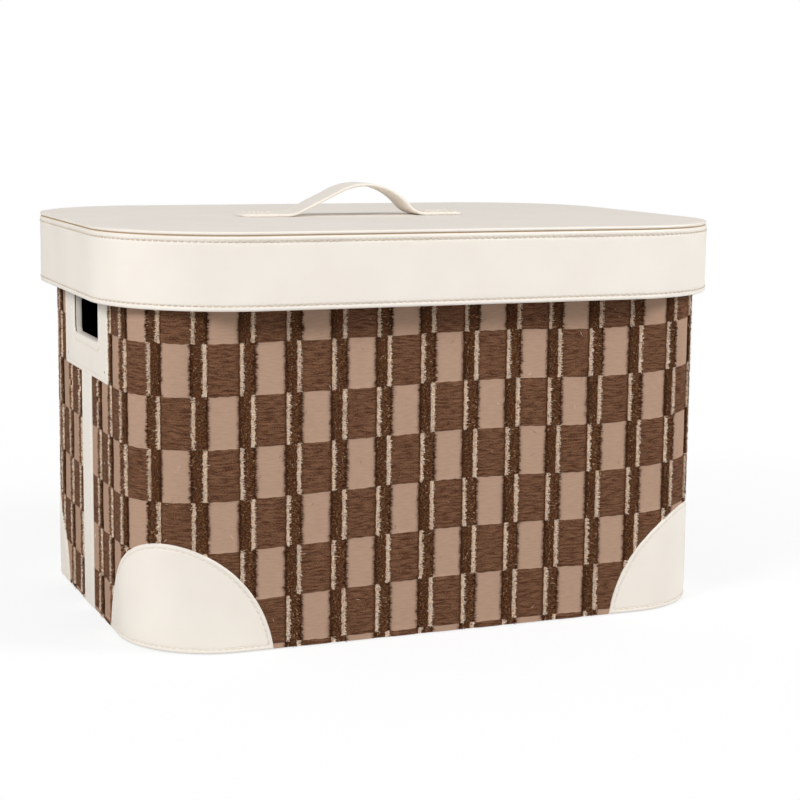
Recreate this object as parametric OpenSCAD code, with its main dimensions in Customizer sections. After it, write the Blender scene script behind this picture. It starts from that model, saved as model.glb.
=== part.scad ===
// Storage box for files with a lift-off lid: rounded board walls covered in woven
// check fabric, cream leatherette lid, corner guards, hand-hole patches and strap.
// Millimetres, +Z up, origin on the floor under the centre of the box.

/* [Overall size] */
// Length of the lid, the longest side of the box
lid_length = 460; // [380:5:560]
// Width of the lid from front to rear
lid_width = 340; // [280:5:420]
// Height from the floor to the top of the lid, without the strap
total_height = 280; // [220:5:400]
// Outer radius of the lid's upright corners
lid_corner_radius = 95; // [60:1:99]
// Distance that the lid stands out past the box on every side
lid_overhang = 15; // [13:0.5:24]
// Outer radius of the box's upright corners
box_corner_radius = 65; // [60:1:95]

/* [Box walls and base] */
// Thickness of the woven outer fabric
fabric_thickness = 1; // [0.6:0.1:1.6]
// Thickness of the paperboard in the walls
wall_board_thickness = 3; // [2:0.1:4.5]
// Width of the flat board round each hand hole, between the bent boards
handle_board_width = 150; // [110:1:170]
// Thickness of the black lining cloth
lining_thickness = 0.5; // [0.3:0.1:1]
// Thickness of the board that closes the bottom
base_board_thickness = 3; // [2:0.1:5]
// Thickness of the sheet under the base, on which the box stands
base_cover_thickness = 0.8; // [0.5:0.1:1.5]
// Distance of the base sheet's edge from the outside of the fabric
base_cover_margin = 2; // [0.5:0.5:8]
// Height of the fabric, strips and guards above the floor
trim_floor_gap = 0.6; // [0.3:0.1:0.7]

/* [Leatherette trim] */
// Thickness of the leatherette trim on the box
trim_thickness = 0.8; // [0.5:0.1:1.5]
// Depth of the binding folded over the rim, inside and outside
rim_binding_depth = 12; // [6:0.5:20]
// Width of the strip over the fabric seam on each short side
seam_strip_width = 28; // [16:1:40]
// Reach of a corner guard along each face, from the square corner
guard_reach = 88.5; // [76:0.5:95]
// Depth below the floor of the guard outline's centre
guard_centre_drop = 11.5; // [1:0.5:15]

/* [Hand holes] */
// Width of the leatherette patch round a hand hole
handle_patch_width = 132; // [110:1:150]
// Height of that patch below the rim binding
handle_patch_height = 91.5; // [80:0.5:110]
// Clear width of the hand hole
hand_hole_width = 76; // [60:1:90]
// Clear height of the hand hole
hand_hole_height = 36; // [28:1:42]
// Radius of the hand hole's corners
hand_hole_radius = 4; // [2:0.5:9]
// Distance from the rim down to the top of the hand hole
hand_hole_drop = 41.5; // [32:0.5:52]
// Wall of the leatherette sleeve through the hand hole
sleeve_thickness = 0.8; // [0.5:0.1:1.2]
// Width of the sleeve's flange on the inside of the box
sleeve_flange_width = 9; // [5:0.5:14]

/* [Lid] */
// Height of the lid's skirt
lid_skirt_height = 51; // [40:1:70]
// Thickness of the lid's leatherette
lid_cover_thickness = 0.8; // [0.5:0.1:1.5]
// Thickness of the board in the lid's top
lid_top_board_thickness = 3; // [2:0.1:5]
// Thickness of the bent board in the lid's skirt
lid_skirt_board_thickness = 3; // [2:0.1:4]
// Height of the leatherette turned up inside the skirt
lid_hem_height = 10; // [6:0.5:16]
// Diameter of the rolled welt round the lid's top edge
welt_diameter = 2.2; // [1.6:0.1:4]
// Free height between the rim and the lid's lining
lid_seat_gap = 0.3; // [0.2:0.05:0.6]

/* [Strap] */
// Place of the strap's middle along the lid, from the lid's own middle
strap_middle = -15; // [-30:0.5:30]
// Length of the strap from end to end
strap_length = 172; // [165:1:220]
// Width of the strap
strap_width = 30; // [24:1:40]
// Thickness of the strap, two plies of leatherette
strap_thickness = 2.2; // [1.5:0.1:3]
// Height of the finger space under the strap
strap_rise = 21.8; // [16:0.2:26]
// Length of the flat foot sewn down at each end
strap_foot_length = 31; // [28:0.5:35]
// Distance of the arch's highest point from the middle of the strap
strap_peak_shift = 7; // [0:0.5:10]
// Radius of the arch's crown along its mid-thickness
strap_crown_radius = 46; // [26:1:52]
// Length of the straight slope on the arch's left side
strap_slope_length = 34; // [0:1:44]
// Radius of the strap's end corners, seen from above
strap_corner_radius = 8; // [3:0.5:12]

/* [Strap fixing] */
// Thickness of the backing patches under the lid's top board
backing_thickness = 1; // [0.6:0.1:2]
// Length of a backing patch along the strap
backing_length = 32; // [28:1:36]
// Width of a backing patch
backing_width = 28; // [24:1:36]
// Diameter of the sewing thread
thread_diameter = 0.8; // [0.5:0.1:1]
// Distance between the stitched rows along the strap
stitch_box_length = 22; // [16:1:24]
// Distance between the stitched rows across the strap
stitch_box_width = 20; // [14:1:21]
// Clearance round the backing patch and the thread inside the lid
fixing_clearance = 0.1; // [0.05:0.05:0.3]

/* [Hidden] */
$fn = 96;

// A cut runs this far past the faces that it opens
cut_past = 1;

// Colours of the real materials
cream = "#F0E9DE";
pale_cream = "#E0DAD2";
check_brown = "#8F6E58";
kraft_board = "#B59A78";
lining_black = "#1B1A1A";

// Plan sizes of the box, measured outside the fabric
box_length = lid_length - 2 * lid_overhang;
box_width = lid_width - 2 * lid_overhang;

// Depths of the wall's layers below the outside of the fabric
board_outside = fabric_thickness;
board_inside = board_outside + wall_board_thickness;
lining_inside = board_inside + lining_thickness;

// Heights of the lid's layers, from the top down
top_board_top = total_height - lid_cover_thickness;
top_board_bottom = top_board_top - lid_top_board_thickness;
inner_card_thickness = backing_thickness + thread_diameter + fixing_clearance;
inner_card_bottom = top_board_bottom - inner_card_thickness;
lid_lining_bottom = inner_card_bottom - lining_thickness;
skirt_bottom = total_height - lid_skirt_height;
skirt_top = total_height - welt_diameter;

// Depths of the skirt's layers below the outside of the lid
skirt_board_inside = lid_cover_thickness + lid_skirt_board_thickness;
skirt_hem_inside = skirt_board_inside + lid_cover_thickness;
welt_radius = welt_diameter / 2;

// Heights in the box
rim_top = lid_lining_bottom - lid_seat_gap;
wall_top = rim_top - trim_thickness;
binding_bottom = rim_top - rim_binding_depth;
base_board_top = base_cover_thickness + base_board_thickness;
base_lining_top = base_board_top + lining_thickness;
patch_bottom = binding_bottom - handle_patch_height;
hand_hole_middle = rim_top - hand_hole_drop - hand_hole_height / 2;

// Sphere whose cut gives a guard its rounded outline
guard_sphere_radius = sqrt(pow(guard_reach, 2) + pow(guard_centre_drop, 2));

// The strap's arch: a crown arc, and on each side a slope and a reverse arc to the foot
strap_foot_end = strap_length / 2 - strap_foot_length;
strap_run_left = strap_foot_end + strap_peak_shift;
strap_run_right = strap_foot_end - strap_peak_shift;
function arch_angle(run, slope) = 2 * atan(strap_rise / (run + slope));
function arch_foot_radius(run, slope) =
    let (angle = arch_angle(run, slope))
    (run - slope * cos(angle)) / sin(angle) - strap_crown_radius;
// Degrees between the points of the strap's arcs
arc_step = 4;
// Middle of the strap's foot on a side, from the lid's middle
function strap_foot_middle(side) = strap_middle + side * (strap_length - strap_foot_length) / 2;
stitch_hole_radius = thread_diameter / 2 + fixing_clearance / 2;
// Width of the thread's flat runs as a share of its diameter
thread_flatness = 0.8;

// ---------- shared shapes ----------

module rounded_rect(length, width, radius) {
    square([length - 2 * radius, width], center = true);
    square([length, width - 2 * radius], center = true);
    for (sx = [-1, 1], sy = [-1, 1])
        translate([sx * (length / 2 - radius), sy * (width / 2 - radius)])
            circle(r = radius);
}

// The box's outline, drawn in by an inset (a negative inset lies outside)
module box_outline(inset) {
    rounded_rect(box_length - 2 * inset, box_width - 2 * inset, box_corner_radius - inset);
}

module lid_outline(inset) {
    rounded_rect(lid_length - 2 * inset, lid_width - 2 * inset, lid_corner_radius - inset);
}

// A wall layer of the box between two insets and two heights
module box_ring(outer_inset, inner_inset, bottom, top) {
    translate([0, 0, bottom])
        linear_extrude(top - bottom)
            difference() {
                box_outline(outer_inset);
                box_outline(inner_inset);
            }
}

module lid_ring(outer_inset, inner_inset, bottom, top) {
    translate([0, 0, bottom])
        linear_extrude(top - bottom)
            difference() {
                lid_outline(outer_inset);
                lid_outline(inner_inset);
            }
}

module lid_slab(inset, bottom, top) {
    translate([0, 0, bottom])
        linear_extrude(top - bottom)
            lid_outline(inset);
}

// The space from a distance off the middle plane: side -1 is the front, side 1 the rear
module half_space(side, distance) {
    translate([-lid_length, side < 0 ? -lid_width - distance : distance, -cut_past])
        cube([2 * lid_length, lid_width, total_height + cut_past]);
}

// The hand hole's shape through both short sides, grown by a sleeve wall
module hand_hole_cut(grow) {
    translate([-lid_length / 2, 0, hand_hole_middle])
        rotate([90, 0, 90])
            linear_extrude(lid_length)
                hand_hole_outline(grow);
}

module hand_hole_outline(grow) {
    rounded_rect(hand_hole_width + 2 * grow, hand_hole_height + 2 * grow,
        hand_hole_radius + grow);
}

// ---------- box: boards and base ----------

// Board bent round two corners: side -1 is the front, side 1 the rear
module bent_wall_board(side) {
    color(kraft_board)
        intersection() {
            box_ring(board_outside, board_inside, base_cover_thickness, wall_top);
            half_space(side, handle_board_width / 2);
        }
}

// Flat board with the hand hole, between the bent boards
module handle_wall_board(side) {
    color(kraft_board)
        difference() {
            intersection() {
                box_ring(board_outside, board_inside, base_cover_thickness, wall_top);
                translate([side < 0 ? -lid_length : 0, -handle_board_width / 2, 0])
                    cube([lid_length, handle_board_width, total_height]);
            }
            hand_hole_cut(sleeve_thickness);
        }
}

module base_board() {
    color(kraft_board)
        translate([0, 0, base_cover_thickness])
            linear_extrude(base_board_thickness)
                box_outline(board_inside);
}

module base_cover() {
    color(lining_black)
        linear_extrude(base_cover_thickness)
            box_outline(base_cover_margin);
}

// ---------- box: fabric and lining ----------

module fabric(side) {
    color(check_brown)
        difference() {
            intersection() {
                box_ring(0, board_outside, trim_floor_gap, wall_top);
                half_space(side, 0);
            }
            hand_hole_cut(sleeve_thickness);
        }
}

module wall_lining() {
    color(lining_black)
        difference() {
            box_ring(board_inside, lining_inside, base_board_top, wall_top);
            hand_hole_cut(sleeve_thickness);
        }
}

module base_lining() {
    color(lining_black)
        translate([0, 0, base_board_top])
            linear_extrude(lining_thickness)
                box_outline(lining_inside);
}

// ---------- box: leatherette trim ----------

// Tape folded over the rim: an upright ring with the wall's place cut from below
module rim_binding() {
    color(cream)
        difference() {
            box_ring(-trim_thickness, lining_inside + trim_thickness,
                binding_bottom, rim_top);
            box_ring(0, lining_inside, binding_bottom - cut_past, wall_top);
        }
}

// Dome of leatherette round a bottom corner, cut from a ring by a sphere
module corner_guard(sx, sy) {
    color(cream)
        intersection() {
            box_ring(-trim_thickness, 0, trim_floor_gap, guard_sphere_radius);
            translate([sx * box_length / 2, sy * box_width / 2, -guard_centre_drop])
                sphere(r = guard_sphere_radius);
        }
}

module seam_strip(side) {
    color(pale_cream)
        translate([side < 0 ? -box_length / 2 - trim_thickness : box_length / 2,
                -seam_strip_width / 2, trim_floor_gap])
            cube([trim_thickness, seam_strip_width, patch_bottom - trim_floor_gap]);
}

module handle_patch(side) {
    color(cream)
        difference() {
            translate([side < 0 ? -box_length / 2 - trim_thickness : box_length / 2,
                    -handle_patch_width / 2, patch_bottom])
                cube([trim_thickness, handle_patch_width, handle_patch_height]);
            hand_hole_cut(0);
        }
}

// Lines the hand hole through the wall and ends in a flange on the lining
module handle_sleeve(side) {
    sleeve_depth = lining_inside + trim_thickness;
    color(cream)
        translate([side * box_length / 2, 0, hand_hole_middle])
            rotate([90, 0, -side * 90])
                difference() {
                    union() {
                        linear_extrude(sleeve_depth)
                            hand_hole_outline(sleeve_thickness);
                        translate([0, 0, lining_inside])
                            linear_extrude(trim_thickness)
                                hand_hole_outline(sleeve_flange_width);
                    }
                    translate([0, 0, -cut_past])
                        linear_extrude(sleeve_depth + 2 * cut_past)
                            hand_hole_outline(0);
                }
}

// ---------- lid ----------

module lid_top_board() {
    color(kraft_board)
        difference() {
            lid_slab(skirt_board_inside, top_board_bottom, top_board_top);
            stitch_holes();
        }
}

module lid_skirt_board(side) {
    color(kraft_board)
        intersection() {
            lid_ring(lid_cover_thickness, skirt_board_inside,
                skirt_bottom + lid_cover_thickness, skirt_top);
            half_space(side, 0);
        }
}

// Card that fills the lid's ceiling round the backing patches
module lid_inner_card() {
    window_length = backing_length + 2 * fixing_clearance;
    window_width = backing_width + 2 * fixing_clearance;
    color(kraft_board)
        difference() {
            lid_slab(skirt_board_inside, inner_card_bottom, top_board_bottom);
            for (side = [-1, 1])
                translate([strap_foot_middle(side), 0, inner_card_bottom + inner_card_thickness / 2])
                    cube([window_length, window_width, inner_card_thickness + 2 * cut_past],
                        center = true);
        }
}

module lid_top_cover() {
    color(pale_cream)
        difference() {
            lid_slab(welt_diameter + fixing_clearance, top_board_top, total_height);
            stitch_holes();
        }
}

// Leatherette down the skirt, round its lower edge and up inside as a hem
module lid_skirt_cover() {
    color(cream)
        difference() {
            lid_ring(0, skirt_hem_inside, skirt_bottom, skirt_top);
            lid_ring(lid_cover_thickness, skirt_board_inside,
                skirt_bottom + lid_cover_thickness, skirt_top + cut_past);
            lid_ring(skirt_board_inside - lid_skirt_board_thickness / 2,
                skirt_hem_inside + cut_past, skirt_bottom + lid_hem_height,
                skirt_top + cut_past);
        }
}

// Rolled bead along the lid's top edge: four straights and four quarter turns
module lid_edge_welt() {
    inset = welt_radius + fixing_clearance;
    color(cream)
        translate([0, 0, total_height - welt_radius])
            for (turn = [0, 1])
                rotate([0, 0, 180 * turn]) {
                    welt_side(lid_length, lid_width, inset);
                    rotate([0, 0, 90])
                        welt_side(lid_width, lid_length, inset);
                }
}

// One straight of the welt along -Y's side and the quarter turn at its +X end
module welt_side(along, across, inset) {
    straight = along - 2 * lid_corner_radius;
    translate([-straight / 2, -(across / 2 - inset), 0])
        rotate([0, 90, 0])
            cylinder(r = welt_radius, h = straight);
    translate([straight / 2, -(across / 2 - lid_corner_radius), 0])
        rotate([0, 0, -90])
            rotate_extrude(angle = 90)
                translate([lid_corner_radius - inset, 0])
                    circle(r = welt_radius);
}

module lid_top_lining() {
    color(lining_black)
        lid_slab(skirt_board_inside, lid_lining_bottom, inner_card_bottom);
}

module lid_skirt_lining() {
    color(lining_black)
        lid_ring(skirt_board_inside, skirt_board_inside + lining_thickness,
            skirt_bottom + lid_hem_height, lid_lining_bottom);
}

// ---------- strap and its fixing ----------

// Points along an arc after its start, so that arcs can follow each other
function arc_points(centre, radius, from, to) =
    let (steps = ceil(abs(to - from) / arc_step))
    [for (i = [1 : steps])
        let (angle = from + (to - from) * i / steps)
        centre + radius * [cos(angle), sin(angle)]];

// One face of the strap from left to right: side 1 is the top, side -1 the underside
function strap_face(side) =
    let (offset = side * strap_thickness / 2,
        left = arch_angle(strap_run_left, strap_slope_length),
        right = arch_angle(strap_run_right, 0),
        left_radius = arch_foot_radius(strap_run_left, strap_slope_length),
        right_radius = arch_foot_radius(strap_run_right, 0),
        peak = [strap_peak_shift, 0],
        crown_centre = peak + [0, strap_rise - strap_crown_radius])
    concat(
        [[-strap_length / 2, offset], [-strap_foot_end, offset]],
        arc_points(peak + [-strap_run_left, left_radius], left_radius - offset, 270, 270 + left),
        strap_slope_length > 0
            ? [crown_centre + (strap_crown_radius + offset) * [-sin(left), cos(left)]] : [],
        arc_points(crown_centre, strap_crown_radius + offset, 90 + left, 90 - right),
        arc_points(peak + [strap_run_right, right_radius], right_radius - offset, 270 - right, 270),
        [[strap_length / 2, offset]]);

module strap_side_view() {
    underside = strap_face(-1);
    translate([0, strap_thickness / 2])
        polygon(concat(strap_face(1), [for (i = [len(underside) - 1 : -1 : 0]) underside[i]]));
}

module strap_handle() {
    color(cream)
        difference() {
            intersection() {
                translate([strap_middle, strap_width / 2, total_height])
                    rotate([90, 0, 0])
                        linear_extrude(strap_width)
                            strap_side_view();
                translate([strap_middle, 0, total_height - cut_past])
                    linear_extrude(strap_rise + strap_thickness + 2 * cut_past)
                        rounded_rect(strap_length, strap_width, strap_corner_radius);
            }
            stitch_holes();
        }
}

module strap_backing(side) {
    color(cream)
        difference() {
            translate([strap_foot_middle(side), 0, top_board_bottom - backing_thickness / 2])
                cube([backing_length, backing_width, backing_thickness], center = true);
            stitch_holes();
        }
}

// Places each child at the corners and side middles of both stitched boxes
module at_stitches() {
    for (side = [-1, 1], sx = [-1, 0, 1], sy = [-1, 0, 1])
        if (sx != 0 || sy != 0)
            translate([strap_foot_middle(side) + sx * stitch_box_length / 2,
                    sy * stitch_box_width / 2, 0])
                children();
}

module stitch_holes() {
    bottom = top_board_bottom - backing_thickness - cut_past;
    at_stitches()
        translate([0, 0, bottom])
            cylinder(r = stitch_hole_radius, h = total_height + strap_thickness + cut_past - bottom);
}

// Thread pressed flat round one stitched box, with its lower face at a height
module thread_loop(side, bottom) {
    width = thread_diameter * thread_flatness;
    translate([strap_foot_middle(side), 0, bottom + width / 2]) {
        for (sy = [-1, 1])
            translate([0, sy * stitch_box_width / 2, 0])
                cube([stitch_box_length, width, width], center = true);
        for (sx = [-1, 1])
            translate([sx * stitch_box_length / 2, 0, 0])
                cube([width, stitch_box_width, width], center = true);
    }
}

module strap_stitching() {
    thread_radius = thread_diameter / 2;
    loop_top = total_height + strap_thickness;
    loop_bottom = top_board_bottom - backing_thickness - thread_diameter * thread_flatness;
    color(cream) {
        for (side = [-1, 1]) {
            thread_loop(side, loop_top);
            thread_loop(side, loop_bottom);
        }
        at_stitches()
            translate([0, 0, loop_bottom + thread_radius / 2])
                cylinder(r = thread_radius, h = loop_top - loop_bottom);
    }
}

bent_wall_board(-1);  // wall_board_front
bent_wall_board(1);  // wall_board_rear
handle_wall_board(-1);  // wall_board_left
handle_wall_board(1);  // wall_board_right
base_board();
base_cover();
fabric(-1);  // fabric_front
fabric(1);  // fabric_rear
wall_lining();
base_lining();
rim_binding();
corner_guard(-1, -1);  // corner_guard_front_left
corner_guard(1, -1);  // corner_guard_front_right
corner_guard(-1, 1);  // corner_guard_rear_left
corner_guard(1, 1);  // corner_guard_rear_right
seam_strip(-1);  // seam_strip_left
seam_strip(1);  // seam_strip_right
handle_patch(-1);  // handle_patch_left
handle_patch(1);  // handle_patch_right
handle_sleeve(-1);  // handle_sleeve_left
handle_sleeve(1);  // handle_sleeve_right
lid_top_board();
lid_skirt_board(-1);  // lid_skirt_board_front
lid_skirt_board(1);  // lid_skirt_board_rear
lid_inner_card();
lid_top_cover();
lid_skirt_cover();
lid_edge_welt();
lid_top_lining();
lid_skirt_lining();
strap_handle();
strap_backing(-1);  // strap_backing_left
strap_backing(1);  // strap_backing_right
strap_stitching();
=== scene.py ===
"""Looks of the fabric-covered storage box with a lift-off leatherette lid.

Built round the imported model, in its frame: origin on the floor under the middle of the
box, front towards -Y, +Z up. Lengths in this file are millimetres until a mesh is made.
"""

import math
from functools import partial

import bmesh
import bpy
import numpy as np
from mathutils import Matrix, Vector


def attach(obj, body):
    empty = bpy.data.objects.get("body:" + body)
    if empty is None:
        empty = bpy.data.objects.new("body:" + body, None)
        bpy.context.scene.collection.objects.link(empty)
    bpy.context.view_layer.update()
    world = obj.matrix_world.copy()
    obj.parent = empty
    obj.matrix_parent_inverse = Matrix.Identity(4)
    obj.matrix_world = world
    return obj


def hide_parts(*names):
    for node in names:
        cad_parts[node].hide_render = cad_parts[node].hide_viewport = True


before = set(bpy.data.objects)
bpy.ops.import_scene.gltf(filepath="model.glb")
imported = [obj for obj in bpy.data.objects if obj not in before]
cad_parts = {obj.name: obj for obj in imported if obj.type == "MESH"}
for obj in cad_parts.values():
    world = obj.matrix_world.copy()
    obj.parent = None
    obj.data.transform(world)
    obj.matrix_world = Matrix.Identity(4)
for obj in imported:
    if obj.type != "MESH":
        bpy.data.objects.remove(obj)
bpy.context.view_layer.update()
scene = bpy.context.scene

MM = 0.001


# ---------- the outlines that the box and the lid are wrapped round ----------


class Outline:
    """A rounded rectangle seen from above. A place on it is s, the distance in mm along
    it from the middle of its front, counted towards +X."""

    def __init__(self, length, width, radius):
        along, across = length / 2 - radius, width / 2 - radius
        turn = radius * math.pi / 2
        runs = [0, along, turn, 2 * across, turn, 2 * along, turn, 2 * across, turn, along]
        self.radius = radius
        self.knots = np.cumsum(runs)
        self.around = self.knots[-1]
        self.angles = np.radians([-90, -90, 0, 0, 90, 90, 180, 180, 270, 270])
        self.centre_x = along * np.array([0, 1, 1, 1, 1, -1, -1, -1, -1, 0])
        self.centre_y = across * np.array([-1, -1, -1, 1, 1, 1, 1, -1, -1, -1])

    def at(self, s, out=0.0, up=0.0):
        """The points at s, out mm outside the outline and up mm above the floor."""
        s = np.mod(s, self.around)
        angle = np.interp(s, self.knots, self.angles)
        reach = self.radius + out
        x = np.interp(s, self.knots, self.centre_x) + reach * np.cos(angle)
        y = np.interp(s, self.knots, self.centre_y) + reach * np.sin(angle)
        return np.stack(np.broadcast_arrays(x, y, up), axis=-1).astype(float)

    def stations(self, step):
        """Evenly spaced places right round the outline."""
        count = round(self.around / step)
        return np.arange(count) * self.around / count


BOX_LENGTH, BOX_WIDTH = 430, 310
BOX = Outline(BOX_LENGTH, BOX_WIDTH, 65)
LID = Outline(460, 340, 95)

# Heights above the floor
TRIM_BOTTOM = 0.6
BASE_BOARD_TOP = 3.8
WALL_TOP = 272.7
RIM_TOP = 273.5
BINDING_BOTTOM = 261.5
PATCH_BOTTOM = 170
HOLE_MIDDLE = 214
LID_TOP = 280
SKIRT_BOTTOM = 229
HEM_TOP = 239
LINING_CEILING = 273.8
WELT_DIAMETER = 2.2
SKIRT_TOP = LID_TOP - WELT_DIAMETER

# Layers of the wall, as depths below the outside of the fabric
FABRIC = 1.0
BOARD_INSIDE = 4.0
LINING_INSIDE = 4.5
TRIM = 0.8

# Layers of the lid's skirt, as depths below its outside
SKIRT_BOARD_OUTSIDE = 0.8
SKIRT_BOARD_INSIDE = 3.8

# The middle of a short side, where the fabric's two halves meet
SIDE_MIDDLE = BOX.around / 4
STRIP_WIDTH = 28
PATCH_WIDTH = 132
HOLE_WIDTH, HOLE_HEIGHT, HOLE_RADIUS = 76, 36, 4
# Half the width and height of the cut that fabric and lining leave round a hand hole
CUT_ASIDE, CUT_UP = HOLE_WIDTH / 2 + 1.6, HOLE_HEIGHT / 2 + 1.6
# How far a corner guard reaches along the floor, and how far its arc's middle lies below it
GUARD_REACH, GUARD_DROP = 88.5, 11.5
GUARD_RADIUS = math.hypot(GUARD_REACH, GUARD_DROP)

# The woven pattern: a panel and a fringed gap repeat along the wall, in rows
PANEL_REPEAT = 31.92
PANEL_WIDTH = 20.5
ROW_HEIGHT = 33.88
ROW_START = 4.9
# Where a panel's middle lies, in s, on the front piece and on the rear piece
FRONT_PHASE, REAR_PHASE = -1.0, 1372.4

# Sewing thread
THREAD = 0.8
STITCH_PITCH = 4.5
STITCH_LENGTH = 3.5


# ---------- making meshes ----------


def grid_quads(rows, columns, rows_close=False, columns_close=False):
    """Faces between the points of a grid that is listed row by row."""
    row = np.arange(rows if rows_close else rows - 1)[:, None]
    column = np.arange(columns if columns_close else columns - 1)
    next_row, next_column = (row + 1) % rows, (column + 1) % columns
    corners = [row * columns + column, row * columns + next_column,
               next_row * columns + next_column, next_row * columns + column]
    return np.stack(corners, -1).reshape(-1, 4)


def make_piece(name, points, faces, body, finishes, finish_of_face=None,
               unrolled=None, replaces=(), face_outward=True, crease=35, map_name="unrolled"):
    """A piece of the box from points in mm and a list of face arrays."""
    points = np.asarray(points, float).reshape(-1, 3)
    used = np.unique(np.concatenate([group.ravel() for group in faces]))
    renumber = np.zeros(len(points), int)
    renumber[used] = np.arange(len(used))
    polygons = [polygon for group in faces for polygon in renumber[group].tolist()]
    mesh = bpy.data.meshes.new(name)
    mesh.from_pydata((points[used] * MM).tolist(), [], polygons)
    for finish in finishes:
        mesh.materials.append(finish)
    if finish_of_face is not None:
        mesh.polygons.foreach_set("material_index", np.asarray(finish_of_face, np.int32))
    if unrolled is not None:
        corner_of = np.empty(len(mesh.loops), np.int32)
        mesh.loops.foreach_get("vertex_index", corner_of)
        flat = np.asarray(unrolled, float).reshape(-1, 2)[used] * MM
        mesh.uv_layers.new(name=map_name).uv.foreach_set(
            "vector", flat[corner_of].astype(np.float32).ravel())
    if face_outward:
        work = bmesh.new()
        work.from_mesh(mesh)
        bmesh.ops.recalc_face_normals(work, faces=work.faces)
        work.to_mesh(mesh)
        work.free()
    mesh.shade_smooth()
    mesh.set_sharp_from_angle(angle=math.radians(crease))
    piece = bpy.data.objects.new(name, mesh)
    scene.collection.objects.link(piece)
    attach(piece, body)
    if replaces:
        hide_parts(*replaces)
    return piece


def ripple(a, b, size, height, seed):
    """Slow uneven rise and fall, with waves about size mm long in all directions."""
    draw = np.random.default_rng(seed)
    total = 0.0
    for angle, phase, share in draw.uniform((0, 0, 0.6), (2 * math.pi, 2 * math.pi, 1.6), (9, 3)):
        total = total + np.sin(
            (a * math.cos(angle) + b * math.sin(angle)) * 2 * math.pi / (size * share) + phase)
    return height * total / 3


def sheet_with_holes(keep, columns_close=False):
    """Faces of a sheet with an outer and an inner layer of the same grid of points. keep
    marks the grid's cells that are there, and every border is closed."""
    rows = keep.shape[0] + 1
    columns = keep.shape[1] + (0 if columns_close else 1)
    row, column = np.nonzero(keep)
    right = (column + 1) % columns
    a, b = row * columns + column, row * columns + right
    d, c = a + columns, b + columns
    inner = rows * columns
    faces = [np.stack([a, b, c, d], 1), inner + np.stack([d, c, b, a], 1)]
    padded = np.pad(keep, 1)
    if columns_close:
        padded[1:-1, 0], padded[1:-1, -1] = keep[:, -1], keep[:, 0]
    sides = [((0, 1), a, b), ((1, 2), b, c), ((2, 1), c, d), ((1, 0), d, a)]
    for (down, across), start, end in sides:
        border = ~padded[row + down, column + across]
        start, end = start[border], end[border]
        faces.append(np.stack([start, inner + start, inner + end, end], 1))
    return faces


def grid_lines(first, last, musts, step):
    """Places from first to last that include the musts, and are at most step apart."""
    musts = sorted(x for x in musts if first + 0.1 < x < last - 0.1)
    fixed = [first]
    for x in musts + [last]:
        if x - fixed[-1] > 0.12:
            fixed.append(x)
    fixed[-1] = last
    parts = [np.linspace(a, b, max(1, math.ceil((b - a) / step)) + 1)[:-1]
             for a, b in zip(fixed, fixed[1:])]
    return np.append(np.concatenate(parts), last)


def swept_ring(outline, step, profile):
    """Points and faces of a closed profile of (out, up) run round an outline."""
    s = outline.stations(step)
    out, up = np.array(profile, float).T
    points = outline.at(s[:, None], out[None, :], up[None, :])
    return points, [grid_quads(len(s), len(profile), True, True)]


def at_level(base, profile):
    """A profile of (out, up) whose ups are counted from a base."""
    return [(out, base + up) for out, up in profile]


def flat_sheet(outline, step, edge, rings, swell=None):
    """Points and faces of a flat sheet. edge runs from the underside round to the top as
    (inset, up), and rings more rings lead to the sheet's middle."""
    s = outline.stations(step)
    layers = [outline.at(s, -inset, up) for inset, up in edge]
    under, top = layers[0], layers[-1]
    for share in np.linspace(1, 0, rings + 2)[1:-1]:
        ring = top * [share, share, 1]
        if swell is not None:
            ring[:, 2] += swell(ring[:, 0], ring[:, 1]) * min(1, (1 - share) * 12)
        layers.append(ring)
    count = len(s)
    middle_top = top.mean(0)
    middle_under = under.mean(0)
    points = np.vstack(layers + [middle_top[None], middle_under[None]])
    first = (len(layers) - 1) * count
    here, onward = np.arange(count), (np.arange(count) + 1) % count
    hub = np.full(count, len(points) - 2)
    faces = [grid_quads(len(layers), count, columns_close=True),
             np.stack([first + here, first + onward, hub], 1),
             np.stack([onward, here, hub + 1], 1)]
    return points, faces


def stitch_row(path, place, pitch=STITCH_PITCH, length=STITCH_LENGTH):
    """Points and faces of sewn stitches along a path of (a, b) points. place turns
    (a, b, height) into points."""
    path = np.asarray(path, float)
    run = np.concatenate([[0], np.cumsum(np.hypot(*np.diff(path, axis=0).T))])
    count = max(1, round(run[-1] / pitch))
    middle = (np.arange(count) + 0.5) * run[-1] / count
    ends = [np.stack([np.interp(middle + side * length / 2, run, path[:, k]) for k in (0, 1)], 1)
            for side in (-1, 1)]
    centre, lie = (ends[0] + ends[1]) / 2, ends[1] - ends[0]
    lie = lie / np.hypot(*lie.T)[:, None]
    along = np.array([-1, -0.85, -0.5, 0, 0.5, 0.85, 1])
    girth = np.array([0.35, 0.75, 1, 1.05, 1, 0.75, 0.35]) * THREAD / 2
    height = THREAD * (0.55 - 0.75 * along**4)
    around = np.radians(np.arange(6) * 60)
    a = np.repeat(along * length / 2, 6)
    b = np.outer(girth, np.cos(around)).ravel()
    h = (height[:, None] * 0.6 + np.outer(girth, np.sin(around))).ravel()
    across = np.stack([-lie[:, 1], lie[:, 0]], 1)
    flat = centre[:, None] + a[:, None] * lie[:, None] + b[:, None] * across[:, None]
    points = place(flat[..., 0], flat[..., 1], np.broadcast_to(h, flat.shape[:2]))
    rings, ring = len(along), np.arange(6)
    start = np.arange(count)[:, None] * rings * 6
    tube = (start[:, :, None] + grid_quads(rings, 6, columns_close=True)).reshape(-1, 4)
    caps = np.concatenate([start + ring[::-1], start + (rings - 1) * 6 + ring])
    return points.reshape(-1, 3), [tube, caps]


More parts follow.
